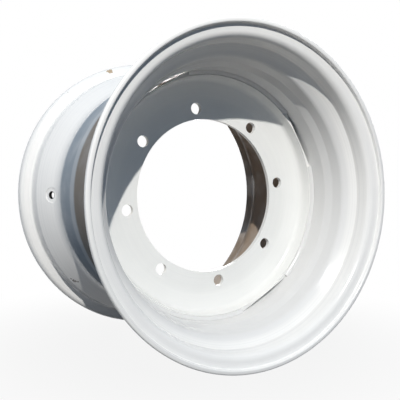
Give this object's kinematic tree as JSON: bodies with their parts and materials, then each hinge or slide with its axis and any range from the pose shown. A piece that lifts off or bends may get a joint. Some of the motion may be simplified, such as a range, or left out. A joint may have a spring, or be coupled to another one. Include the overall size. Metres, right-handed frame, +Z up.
{
  "type": "tractor wheel rim",
  "caption": "White painted steel drop-centre wheel rim for a tractor: wide rolled rim with a welded dished disc, large hub bore and a ring of bolt holes.",
  "frame": {"origin": "on the wheel's axis, half way between the two lips", "axes": "+Y along the wheel's axis towards its rear, front face to -Y, +Z up"},
  "size_m": [0.6604, 0.503, 0.6604],
  "materials": {
    "rim_paint": "gloss white paint",
    "disc_paint": "gloss white paint",
    "weld_paint": "gloss white paint over the weld"
  },
  "bodies": {
    "root": {"rim": "rim_paint", "disc": "disc_paint", "weld_bead_1": "weld_paint", "weld_bead_2": "weld_paint", "weld_bead_3": "weld_paint", "weld_bead_4": "weld_paint"}
  },
  "joints": []
}
